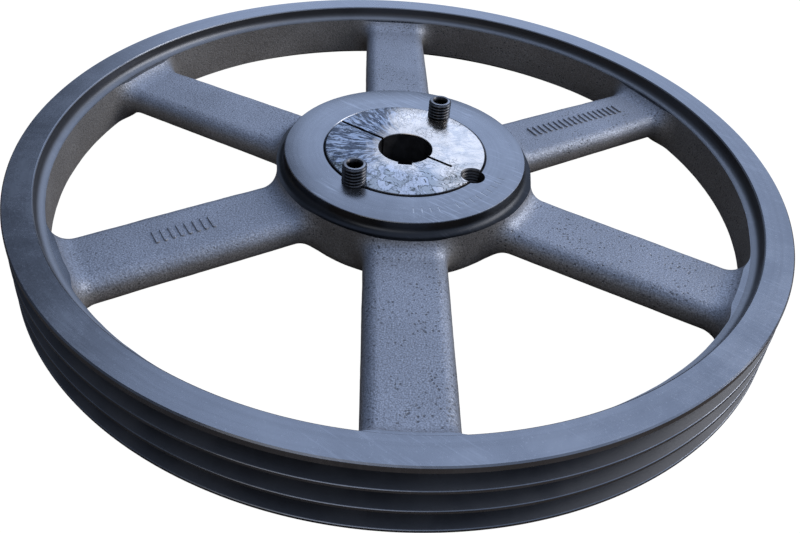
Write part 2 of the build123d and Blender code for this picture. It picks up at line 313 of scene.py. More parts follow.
def casting(x, y, z):
    """Signed distance, mm, of the casting with its turning allowance."""
    r = np.sqrt(x * x + y * y)
    wall = WALL_R_TOP + (WALL_Z_TOP - z) * WALL_SLOPE
    ring = np.maximum((wall - r) / math.hypot(1, WALL_SLOPE), np.maximum(r - 257.0, np.abs(z) - 28.5))
    rb = BARREL_R_BOTTOM + (z + RIM_HALF) * BARREL_SLOPE
    side, under = (r - rb) / math.hypot(1, BARREL_SLOPE), -RIM_HALF - z
    barrel = np.maximum(round_cut(side, under, BARREL_CORNER), z - 29.0)
    zc, ht = ARM_TOP - ARM_T / 2, ARM_T / 2
    arms = np.full_like(x, 1e3)
    for ang in ARM_ANGLES:
        c, s = math.cos(math.radians(ang)), math.sin(math.radians(ang))
        u, v = x * c + y * s, np.abs(-x * s + y * c)
        hw = (ARM_W_HUB + (ARM_W_RIM - ARM_W_HUB) * (u - 60.0) / 173.0) / 2
        qx, qz = v - (hw - ARM_EDGE_R), np.abs(z - zc) - (ht - ARM_EDGE_R)
        d = np.sqrt(np.maximum(qx, 0) ** 2 + np.maximum(qz, 0) ** 2) + np.minimum(np.maximum(qx, qz), 0) - ARM_EDGE_R
        arms = np.minimum(arms, np.maximum(d, np.maximum(12.0 - u, u - 245.0)))
    body = round_union(arms, barrel, FILLET_HUB)
    return round_union(body, ring, FILLET_RIM)


def surface_nets(f, origin, h):
    """Quads through the zero level of a grid, one vertex per crossed cell."""
    s = f < 0
    cell = np.zeros(tuple(n - 1 for n in f.shape), np.int8)
    for dx in (0, 1):
        for dy in (0, 1):
            for dz in (0, 1):
                cell += s[dx:s.shape[0] - 1 + dx, dy:s.shape[1] - 1 + dy, dz:s.shape[2] - 1 + dz]
    mixed = (cell > 0) & (cell < 8)
    ids = np.full(cell.shape, -1, np.int64)
    where = np.argwhere(mixed)
    ids[mixed] = np.arange(len(where))
    acc, cnt = np.zeros((len(where), 3)), np.zeros(len(where))
    for axis in range(3):
        others = [k for k in range(3) if k != axis]
        for oa in (0, 1):
            for ob in (0, 1):
                a = np.zeros(3, int)
                a[others[0]], a[others[1]] = oa, ob
                b = a.copy()
                b[axis] = 1
                ga, gb = where + a, where + b
                fa, fb = f[ga[:, 0], ga[:, 1], ga[:, 2]], f[gb[:, 0], gb[:, 1], gb[:, 2]]
                cross = (fa < 0) != (fb < 0)
                t = np.where(cross, fa / np.where(cross, fa - fb, 1), 0)
                p = a[None] + t[:, None] * (b - a)[None]
                acc += np.where(cross[:, None], p, 0)
                cnt += cross
    verts = (where + acc / cnt[:, None]) * h + np.asarray(origin)
    quads = []
    for axis in range(3):
        u, v = [k for k in range(3) if k != axis]
        lo = [slice(None)] * 3
        hi = [slice(None)] * 3
        lo[axis], hi[axis] = slice(0, -1), slice(1, None)
        change = s[tuple(lo)] != s[tuple(hi)]
        at = np.argwhere(change)
        ok = (at[:, u] > 0) & (at[:, v] > 0) & (at[:, u] < cell.shape[u]) & (at[:, v] < cell.shape[v])
        at = at[ok]
        inside = s[at[:, 0], at[:, 1], at[:, 2]]
        c = []
        for du, dv in ((1, 1), (0, 1), (0, 0), (1, 0)):
            g = at.copy()
            g[:, u] -= du
            g[:, v] -= dv
            c.append(ids[g[:, 0], g[:, 1], g[:, 2]])
        q = np.stack(c, -1)
        flip = inside if axis != 1 else ~inside
        q = np.where(flip[:, None], q, q[:, ::-1])
        quads.append(q)
    return verts, np.concatenate(quads)


def gradient(p, e=0.05):
    g = []
    for k in range(3):
        d = np.zeros(3)
        d[k] = e
        a, b = p + d, p - d
        g.append((casting(a[:, 0], a[:, 1], a[:, 2]) - casting(b[:, 0], b[:, 1], b[:, 2])) / (2 * e))
    g = np.stack(g, -1)
    return g / np.maximum(np.linalg.norm(g, axis=1), 1e-6)[:, None]


def make_casting(mats, h):
    ext = 259.5
    xs = np.arange(-ext, ext + h, h)
    zs = np.arange(-30.5, 31.0 + h, h)
    gx, gy, gz = np.meshgrid(xs, xs, zs, indexing="ij")
    f = np.empty(gx.shape, np.float32)
    for i in range(0, len(xs), 32):       # in slabs, to hold memory down
        f[i:i + 32] = casting(gx[i:i + 32], gy[i:i + 32], gz[i:i + 32])
    del gx, gy, gz
    verts, quads = surface_nets(f.astype(np.float64), (xs[0], xs[0], zs[0]), h)
    for _ in range(2):
        n = gradient(verts)
        d = casting(verts[:, 0], verts[:, 1], verts[:, 2])
        verts -= n * np.clip(d, -0.6 * h, 0.6 * h)[:, None]
    # sand-cast skin: slow waviness, lumps and pebbles, in the geometry
    n = gradient(verts)
    skin = (0.16 * value_noise(verts, 23.0) + 0.07 * value_noise(verts, 9.0, 11.3)
            + 0.05 * value_noise(verts, 4.6, 37.1))
    verts = verts + n * skin[:, None]
    return add_object("wheel_casting", verts, quads, mats, np.full(len(quads), CAST))


def groove_outline():
    """Outline of the turned outside of the rim from its top corner down, and the finish of each step."""
    half_top = DATUM_W / 2 + DATUM_DEPTH * math.tan(GROOVE_HALF)
    half_bot = half_top - GROOVE_DEPTH * math.tan(GROOVE_HALF)
    e, t = EDGE_BREAK, math.tan(GROOVE_HALF)
    pts = [(RIM_R - RIM_CHAMFER, RIM_HALF), (RIM_R, RIM_HALF - RIM_CHAMFER)]
    fin = [TURNED, TURNED]
    for zc in GROOVE_Z:
        pts += [
            (RIM_R, zc + half_top + e * 0.6),
            (RIM_R - e * 0.35, zc + half_top + e * 0.1),
            (RIM_R - e, zc + half_top - e * t),
            (RIM_R - GROOVE_DEPTH + 0.8, zc + half_bot + 0.8 * t),
            (RIM_R - GROOVE_DEPTH + 0.2, zc + half_bot - 0.25),
            (RIM_R - GROOVE_DEPTH, zc + half_bot - 0.9),
            (RIM_R - GROOVE_DEPTH, zc - half_bot + 0.9),
            (RIM_R - GROOVE_DEPTH + 0.2, zc - half_bot + 0.25),
            (RIM_R - GROOVE_DEPTH + 0.8, zc - half_bot - 0.8 * t),
            (RIM_R - e, zc - half_top + e * t),
            (RIM_R - e * 0.35, zc - half_top - e * 0.1),
            (RIM_R, zc - half_top - e * 0.6),
        ]
        fin += [TURNED, TURNED] + [GROOVE] * 7 + [TURNED, TURNED, TURNED]
    pts += [(RIM_R, -RIM_HALF + RIM_CHAMFER), (RIM_R - RIM_CHAMFER, -RIM_HALF)]
    fin += [TURNED, TURNED]
    return pts, fin


def arc(cr, cz, radius, a0, a1, n):
    return [(cr + radius * math.cos(math.radians(a0 + (a1 - a0) * i / n)),
             cz + radius * math.sin(math.radians(a0 + (a1 - a0) * i / n))) for i in range(n + 1)]


def seat_r(z):
    return BUSH_R + SEAT_GAP - (BUSH_TOP - z) * math.tan(TAPER)


def turned_envelope(mats):
    """Everything the lathe leaves: the rim's outside and recesses, the hub's collar, faces and taper bore."""
    pts, fin = [], []

    def add(p, finish):
        pts.append(p)
        fin.append(finish)

    outer, outer_fin = groove_outline()
    for p, q in zip(outer, outer_fin):
        add(p, q)
    # back face of the rim, then its recess
    add((BACK_CONE_R, -RIM_HALF), RECESS)
    add((WALL_R_BOTTOM, WALL_Z_BOTTOM), TURNED)
    add((WALL_R_BOTTOM - 14.0, WALL_Z_BOTTOM), CAST)      # clear of the cast wall
    add((150.0, -27.5), CAST)                              # nothing is turned between rim and hub
    add((BARREL_R_BOTTOM + 16.0, -27.5), CAST)
    add((BARREL_R_BOTTOM - BARREL_CORNER + 4.0, -RIM_HALF), TURNED)
    # back face of the hub, taper bore, mouth, front face
    add((seat_r(-RIM_HALF) + 0.8, -RIM_HALF), TURNED)
    add((seat_r(-RIM_HALF + 0.8), -RIM_HALF + 0.8), SEAT)
    add((seat_r(HUB_TOP - MOUTH_DEPTH), HUB_TOP - MOUTH_DEPTH), SEAT)
    add((seat_r(HUB_TOP - MOUTH_DEPTH) + 0.35, HUB_TOP - MOUTH_DEPTH + 0.35), TURNED)
    add((MOUTH_R, HUB_TOP), TURNED)
    add((FLANGE_R - 0.8, HUB_TOP), TURNED)
    add((FLANGE_R - 0.22, HUB_TOP - 0.26), TURNED)
    add((FLANGE_R, HUB_TOP - 0.8), COLLAR)
    root = arc(FLANGE_R + COLLAR_FILLET, COLLAR_Z + COLLAR_FILLET, COLLAR_FILLET, 180, 270, 10)
    for p in root:
        add(p, COLLAR)
    add((112.0, COLLAR_Z), CAST)
    add((150.0, 27.5), CAST)
    add((WALL_R_TOP - 10.0, WALL_Z_TOP + 6.0), CAST)
    add((WALL_R_TOP - 7.0, WALL_Z_TOP), TURNED)
    front = arc(RELIEF_R - RELIEF_CORNER, WALL_Z_TOP + RELIEF_CORNER, RELIEF_CORNER, -90, 0, 10)
    for p in front:
        add(p, RECESS)
    add((RELIEF_R, RIM_HALF - 0.8), RECESS)
    add((RELIEF_R + 0.42, RIM_HALF - 0.36), TURNED)
    add((RELIEF_R + 0.8, RIM_HALF), TURNED)
    return lathe("turned_envelope", pts, 540, mats, fin)


def bar_part(angle, radius, offset, height, width=BAR_W, rise=BAR_RISE, n=10):
    """Raised rounded bar standing across an arm: (verts, faces)."""
    r = width / 2 - 0.05
    half = height / 2 - r
    loop = [(r * math.cos(t), half + r * math.sin(t)) for t in np.linspace(0, math.pi, n)]
    loop += [(r * math.cos(t), -half + r * math.sin(t)) for t in np.linspace(math.pi, 2 * math.pi, n)]
    loop = np.array(loop)
    verts, rows = [], [(1.08, -1.2), (1.05, 0.0), (1.0, rise * 0.5), (0.93, rise * 0.82), (0.78, rise)]
    core = np.stack([np.zeros(len(loop)), np.clip(loop[:, 1], -half, half)], -1)
    for k, dz in rows:
        p = core + (loop - core) * k
        verts += [(a, b, dz) for a, b in p]
    m = len(loop)
    faces = []
    for k in range(len(rows) - 1):
        for i in range(m):
            i2 = (i + 1) % m
            faces.append((k * m + i, k * m + i2, (k + 1) * m + i2, (k + 1) * m + i))
    verts += [(0, 0, rows[0][1]), (0, 0, rows[-1][1])]
    for i in range(m):
        i2 = (i + 1) % m
        faces.append((len(rows) * m, i2, i))
        faces.append((len(rows) * m + 1, (len(rows) - 1) * m + i, (len(rows) - 1) * m + i2))
    v = np.array(verts) + np.array([0, offset, 0])
    return at_angle(v, angle, radius, ARM_TOP), faces


def make_wheel(mats):
    h = 1.6
    body = make_casting(mats, h)
    body = boolean(body, turned_envelope(mats), "INTERSECT")
    bars = []
    for arm, r0, count, offset, length in BAR_ROWS:
        for k in range(count):
            v, f = bar_part(ARM_ANGLES[arm], r0 + BAR_PITCH * k, offset, length)
            bars.append((v, f, CAST))
    body = boolean(body, joined("bars", bars, mats), "UNION")
    cuts = []
    for ang in SCREW_ANGLES + (JACK_ANGLE,):
        v, f = cylinder_part(HOLE_R, ang, HOLE_CIRCLE_R, HOLE_FLOOR, HUB_TOP + 6)
        cuts.append((v, f, SEAT))
    for ang in STAMP_ANGLES:
        v, f = box_points(66.5, 71.5, -STAMP_W / 2, STAMP_W / 2, HUB_TOP - STAMP_DEPTH, HUB_TOP + 1)
        cuts.append((at_angle(v, ang), f, STAMP))
    body = boolean(body, joined("cuts", cuts, mats), "DIFFERENCE")
    body.name = "wheel"
    body.data.name = "wheel"
    return shade(body)


def make_bush(mats):
    small = BUSH_R - (BUSH_TOP - BUSH_BOTTOM) * math.tan(TAPER)
    pts = [
        (BORE_R, BUSH_BOTTOM + 0.6), (BORE_R, BUSH_TOP - 0.6), (BORE_R + 0.18, BUSH_TOP - 0.18),
        (BORE_R + 0.6, BUSH_TOP), (BUSH_R - 0.6, BUSH_TOP), (BUSH_R - 0.17, BUSH_TOP - 0.17),
        (BUSH_R - 0.6 * math.tan(TAPER), BUSH_TOP - 0.6),
        (small + 0.8 * math.tan(TAPER), BUSH_BOTTOM + 0.8), (small - 0.8, BUSH_BOTTOM),
        (BORE_R + 0.6, BUSH_BOTTOM),
    ]
    fin = [SEAT, FACE, FACE, FACE, FACE, FACE, SEAT, TURNED, TURNED, TURNED]
    body = lathe("bush", pts, 288, mats, fin)
    cuts = []
    z0, z1 = BUSH_BOTTOM - 1, BUSH_TOP + 1
    v, f = box_points(4.0, BORE_R + KEY_DEPTH, -KEY_W / 2, KEY_W / 2, z0, z1)
    cuts.append((at_angle(v, KEY_ANGLE), f, SEAT))
    v, f = box_points(12.0, BUSH_R + 5, -SPLIT_W / 2, SPLIT_W / 2, z0, z1)
    cuts.append((at_angle(v, SPLIT_ANGLE), f, SEAT))
    v, f = box_points(12.0, SLOT_R, -SPLIT_W / 2, SPLIT_W / 2, z0, z1)
    cuts.append((at_angle(v, SLOT_ANGLE), f, SEAT))
    for ang in SCREW_ANGLES:
        v, f = cylinder_part(HOLE_R, ang, HOLE_CIRCLE_R, HOLE_FLOOR, BUSH_TOP + 6)
        cuts.append((v, f, SEAT))
    # the jack hole's half in the bush is threaded
    rows, z = [(HOLE_FLOOR, 7.1)], HOLE_FLOOR + 0.4
    while z + SCREW_PITCH < BUSH_TOP - 0.9:
        rows += [(z, 7.05), (z + SCREW_PITCH * 0.42, HOLE_R), (z + SCREW_PITCH * 0.58, HOLE_R),
                 (z + SCREW_PITCH * 0.96, 7.05)]
        z += SCREW_PITCH
    rows += [(BUSH_TOP - 0.75, 7.3), (BUSH_TOP, HOLE_R + 0.25), (BUSH_TOP + 4, HOLE_R + 0.25)]
    v, f = cylinder_part(HOLE_R, JACK_ANGLE, HOLE_CIRCLE_R, HOLE_FLOOR, BUSH_TOP + 6, profile=rows)
    cuts.append((v, f, SEAT))
    body = boolean(body, joined("bush_cuts", cuts, mats), "DIFFERENCE")
    return shade(body)


def make_screw(name, angle, mat, top):
    """Set screw with one real helical thread, chamfered ends and a hexagon socket."""
    n = 96
    tip = top - SCREW_LEN
    a = np.arange(n) * 2 * math.pi / n
    minor = SCREW_R - SCREW_THREAD
    rings, mats_i = [], []

    def ring(radius, z):
        rr = radius if isinstance(radius, np.ndarray) else np.full(n, radius)
        zz = z if isinstance(z, np.ndarray) else np.full(n, z)
        rings.append(np.stack([rr * np.cos(a), rr * np.sin(a), zz], -1))

    ring(2.2, tip)
    ring(minor - 1.7, tip)
    levels = np.arange(tip + 0.05, top - 0.02, SCREW_PITCH / 14)
    for z in levels:
        phase = (z / SCREW_PITCH - a / (2 * math.pi)) % 1.0
        # rounded Whitworth form
        tri = 1 - np.abs(phase * 2 - 1)
        prof = np.clip((tri - 0.14) / 0.72, 0, 1)
        prof = prof * prof * (3 - 2 * prof) * 0.35 + prof * 0.65
        r = minor + SCREW_THREAD * prof
        r = np.minimum(r, minor - 1.5 + (z - tip) * 1.25)
        r = np.minimum(r, SCREW_R - 0.95 + (top - z) * 1.0)
        ring(r, z)
    ring(SCREW_R - 1.05, top)
    half = math.pi / 6
    hexr = (SOCKET_AF / 2) / np.cos(((a + half) % (math.pi / 3)) - half)
    ring(SOCKET_MOUTH_R + 0.12, top)
    ring(SOCKET_MOUTH_R, top - 0.08)
    ring(hexr, top - SOCKET_MOUTH_DEPTH * (SOCKET_MOUTH_R - hexr) / (SOCKET_MOUTH_R - SOCKET_AF / 2))
    ring(hexr, top - SOCKET_DEPTH)
    ring(hexr * 0.55, top - SOCKET_DEPTH - 1.1)
    obj = disc_stack(name, rings, [mat])
    co = np.zeros(len(obj.data.vertices) * 3, np.float32)
    obj.data.vertices.foreach_get("co", co)
    t = math.radians(angle)
    co = co.reshape(-1, 3) + np.array([HOLE_CIRCLE_R * math.cos(t), HOLE_CIRCLE_R * math.sin(t), 0]) * MM
    obj.data.vertices.foreach_set("co", co.astype(np.float32).ravel())
    obj.data.update()
    return shade(obj, 34.0)


# --------------------------------------------------------------------------
# Materials
# --------------------------------------------------------------------------
class Nodes:
    """Small helper that wires a node tree."""

    def __init__(self, name):
        self.mat = bpy.data.materials.new(name)
        self.mat.use_nodes = True
        self.tree = self.mat.node_tree
        self.tree.nodes.clear()
        self.out = self.add("ShaderNodeOutputMaterial")
        self.bsdf = self.add("ShaderNodeBsdfPrincipled")
        self.link(self.bsdf.outputs["BSDF"], self.out.inputs["Surface"])
        self.coord = self.add("ShaderNodeTexCoord")
        self.p = self.coord.outputs["Object"]

    def add(self, kind, **kw):
        n = self.tree.nodes.new(kind)
        for k, v in kw.items():
            setattr(n, k, v)
        return n

    def link(self, a, b):
        self.tree.links.new(a, b)

    def put(self, socket, value):
        if hasattr(value, "is_output") or isinstance(value, bpy.types.NodeSocket):
            self.link(value, socket)
        else:
            socket.default_value = value

    def math(self, op, a, b=0.0, c=0.0, clamp=False):
        n = self.add("ShaderNodeMath", operation=op, use_clamp=clamp)
        for i, v in enumerate((a, b, c)):
            if i < len(n.inputs):
                self.put(n.inputs[i], v)
        return n.outputs[0]

    def ramp(self, value, a, b, lo=0.0, hi=1.0, smooth=True):
        n = self.add("ShaderNodeMapRange", interpolation_type="SMOOTHSTEP" if smooth else "LINEAR")
        n.clamp = True
        self.put(n.inputs["Value"], value)
        for k, v in (("From Min", a), ("From Max", b), ("To Min", lo), ("To Max", hi)):
            self.put(n.inputs[k], v)
        return n.outputs["Result"]

    def mix(self, factor, a, b, blend="MIX"):
        n = self.add("ShaderNodeMix", data_type="RGBA", blend_type=blend)
        self.put(n.inputs[0], factor)
        for s, v in ((n.inputs[6], a), (n.inputs[7], b)):
            if isinstance(v, (tuple, list)) and len(v) == 3:
                v = (*v, 1.0)
            self.put(s, v)
        return n.outputs[2]

    def noise(self, scale, detail=3.0, rough=0.55, vector=None, distortion=0.0):
        n = self.add("ShaderNodeTexNoise")
        self.put(n.inputs["Vector"], vector or self.p)
        n.inputs["Scale"].default_value = scale
        n.inputs["Detail"].default_value = detail
        n.inputs["Roughness"].default_value = rough
        n.inputs["Distortion"].default_value = distortion
        return n.outputs["Fac"]

    def voronoi(self, scale, feature="F1", vector=None, smooth=None):
        n = self.add("ShaderNodeTexVoronoi", feature=feature)
        self.put(n.inputs["Vector"], vector or self.p)
        n.inputs["Scale"].default_value = scale
        if smooth is not None and "Smoothness" in n.inputs:
            n.inputs["Smoothness"].default_value = smooth
        return n.outputs["Distance"]

    def polar(self):
        """(radius from the axis, angle, height), all as sockets; metres and radians."""
        s = self.add("ShaderNodeSeparateXYZ")
        self.link(self.p, s.inputs[0])
        x, y, z = s.outputs
        r = self.math("SQRT", self.math("ADD", self.math("MULTIPLY", x, x), self.math("MULTIPLY", y, y)))
        t = self.math("ARCTAN2", y, x)
        return r, t, z

    def mapped(self, scale, turn):
        """Object coordinates, turned and then stretched."""
        n = self.add("ShaderNodeMapping", vector_type="POINT")
        n.inputs["Rotation"].default_value = turn
        self.link(self.p, n.inputs["Vector"])
        k = self.add("ShaderNodeVectorMath", operation="MULTIPLY")
        self.link(n.outputs[0], k.inputs[0])
        k.inputs[1].default_value = scale
        return k.outputs[0]

    def vec(self, x, y, z):
        n = self.add("ShaderNodeCombineXYZ")
        for s, v in zip(n.inputs, (x, y, z)):
            self.put(s, v)
        return n.outputs[0]

    def bump(self, height, distance, strength=1.0, normal=None):
        n = self.add("ShaderNodeBump")
        n.inputs["Strength"].default_value = strength
        n.inputs["Distance"].default_value = distance
        self.link(height, n.inputs["Height"])
        if normal is not None:
            self.link(normal, n.inputs["Normal"])
        return n.outputs["Normal"]

    def normal_z(self):
        g = self.add("ShaderNodeNewGeometry")
        s = self.add("ShaderNodeSeparateXYZ")
        self.link(g.outputs["Normal"], s.inputs[0])
        return s.outputs[2]

    def done(self, color, rough, metal=0.0, normal=None, spec=0.5, coat=None):
        b = self.bsdf
        if isinstance(color, (tuple, list)) and len(color) == 3:
            color = (*color, 1.0)
        self.put(b.inputs["Base Color"], color)
        self.put(b.inputs["Roughness"], rough)
        self.put(b.inputs["Metallic"], metal)
        self.put(b.inputs["Specular IOR Level"], spec)
        if normal is not None:
            self.link(normal, b.inputs["Normal"])
        if coat is not None:
            weight, crough, cnormal = coat
            self.put(b.inputs["Coat Weight"], weight)
            self.put(b.inputs["Coat Roughness"], crough)
            if cnormal is not None:
                self.link(cnormal, b.inputs["Coat Normal"])
        return self.mat


def cast_material():
    """Grey iron as cast and phosphated: pebbled skin and pits, bluer and lighter on top as painted sky light, browner
    on its flanks as painted floor bounce.
    """
    m = Nodes("cast_iron_skin")
    grain = m.noise(1150, 3.0, 0.60)
    pebble = m.voronoi(560, "SMOOTH_F1", smooth=0.6)
    lumps = m.noise(150, 2.0, 0.5)
    pits = m.ramp(m.voronoi(330), 0.0, 0.24, 0.0, 1.0)
    cloud = m.noise(16, 3.0, 0.55)
    # painted light: upward faces get a bluer tone standing in for sky light, the flanks a browner tone standing in for
    # warm bounce from the floor
    up = m.ramp(m.normal_z(), 0.0, 0.85)
    top = m.mix(m.ramp(cloud, 0.3, 0.7), (0.230, 0.252, 0.302), (0.286, 0.312, 0.374))
    side = m.mix(m.ramp(cloud, 0.3, 0.7), (0.225, 0.208, 0.190), (0.320, 0.300, 0.280))
    base = m.mix(up, side, top)
    base = m.mix(m.ramp(grain, 0.34, 0.60, 0.60, 0.0), base, (0.075, 0.072, 0.074))
    base = m.mix(m.ramp(grain, 0.56, 0.72, 0.0, 0.35), base, (0.560, 0.580, 0.630))
    base = m.mix(m.ramp(pits, 0.0, 1.0, 0.55, 0.0), base, (0.035, 0.033, 0.031))
    pocks = m.math("MULTIPLY", m.ramp(m.math("ADD", m.voronoi(330), m.math("MULTIPLY", grain, 0.22)), 0.30, 0.43, 1.0, 0.0),
                   m.ramp(m.noise(48, 2.0, 0.5), 0.42, 0.58))
    across = m.add("ShaderNodeSeparateXYZ")               # the left of the casting is the smoother side
    m.link(m.p, across.inputs[0])
    pocks = m.math("MULTIPLY", pocks, m.ramp(across.outputs[0], -0.14, 0.04, 0.35, 1.0))
    base = m.mix(m.math("MULTIPLY", pocks, 0.66), base, (0.042, 0.043, 0.048))
    height = m.math("ADD", m.math("MULTIPLY", grain, 0.55),
                    m.math("ADD", m.math("MULTIPLY", pebble, 0.5), m.math("MULTIPLY", lumps, 0.35)))
    height = m.math("ADD", height, m.math("MULTIPLY", pits, 0.25))
    height = m.math("SUBTRACT", height, m.math("MULTIPLY", pocks, 0.45))
    normal = m.bump(height, 0.0006, 0.60)
    rough = m.ramp(grain, 0.3, 0.7, 0.58, 0.42)
    return m.done(base, rough, 0.35, normal, 0.8)


def turned_material(name, light, dark, rough0, metal=1.0, mark=1.0, painted_facing_shade=None):
    """Turned and phosphated: faint concentric tool marks, smudges and a few hairline scratches, with an optional tone
    for vertical faces that is painted shade by facing.
    """
    m = Nodes(name)
    r, t, z = m.polar()
    lines = m.noise(1.0, 4.0, 0.7, vector=m.vec(m.math("MULTIPLY", r, 2600.0), m.math("MULTIPLY", t, 1.6),
                                               m.math("MULTIPLY", z, 2600.0)))
    bands = m.noise(1.0, 2.0, 0.5, vector=m.vec(m.math("MULTIPLY", r, 420.0), m.math("MULTIPLY", t, 0.8),
                                               m.math("MULTIPLY", z, 420.0)))
    smudge = m.noise(22, 4.0, 0.6, distortion=0.4)
    speck = m.noise(900, 2.0, 0.5)
    skew = m.noise(1.0, 2.0, 0.6, vector=m.mapped((38.0, 640.0, 38.0), (0, 0, 0.55)))
    scuffed = m.math("MULTIPLY", m.ramp(m.noise(14, 2.0, 0.5), 0.46, 0.60), m.ramp(r, 0.09, 0.12, 1.0, 0.30))
    c = m.mix(m.ramp(smudge, 0.3, 0.72), dark, light)
    c = m.mix(m.ramp(bands, 0.35, 0.7, 0.0, 0.20), c, tuple(v * 0.7 for v in dark))
    c = m.mix(m.ramp(speck, 0.62, 0.75, 0.0, 0.35), c, tuple(min(v * 1.5, 1.0) for v in light))
    c = m.mix(m.math("MULTIPLY", m.ramp(skew, 0.54, 0.66, 0.0, 0.40), scuffed), c,
              tuple(min(v * 1.7, 1.0) for v in light))
    # painted shade by facing: vertical faces are blended to their own tone, apart from the upward faces
    if painted_facing_shade is not None:
        c = m.mix(m.ramp(m.normal_z(), 0.35, 1.0), painted_facing_shade, c)
    height = m.math("ADD", m.math("MULTIPLY", lines, 0.6 * mark),
                    m.math("ADD", m.math("MULTIPLY", bands, 0.5), m.math("MULTIPLY", speck, 0.25)))
    normal = m.bump(height, 0.00010, 0.28)
    rough = m.math("ADD", m.ramp(smudge, 0.25, 0.75, rough0 - 0.06, rough0 + 0.07),
                   m.ramp(speck, 0.4, 0.7, 0.0, 0.05))
    return m.done(c, rough, metal, normal, 0.5)


def groove_material():
    """Flanks of the belt grooves: near black, dull, with fine turning marks."""
    m = Nodes("groove_black")
    r, t, z = m.polar()
    lines = m.noise(1.0, 3.0, 0.7, vector=m.vec(m.math("MULTIPLY", r, 1800.0), m.math("MULTIPLY", t, 2.0),
                                               m.math("MULTIPLY", z, 1800.0)))
    smudge = m.noise(30, 3.0, 0.6)
    c = m.mix(m.ramp(smudge, 0.3, 0.7), (0.041, 0.042, 0.047), (0.072, 0.072, 0.076))
    normal = m.bump(lines, 0.00008, 0.5)
    return m.done(c, m.ramp(smudge, 0.3, 0.7, 0.42, 0.56), 0.5, normal, 0.5)


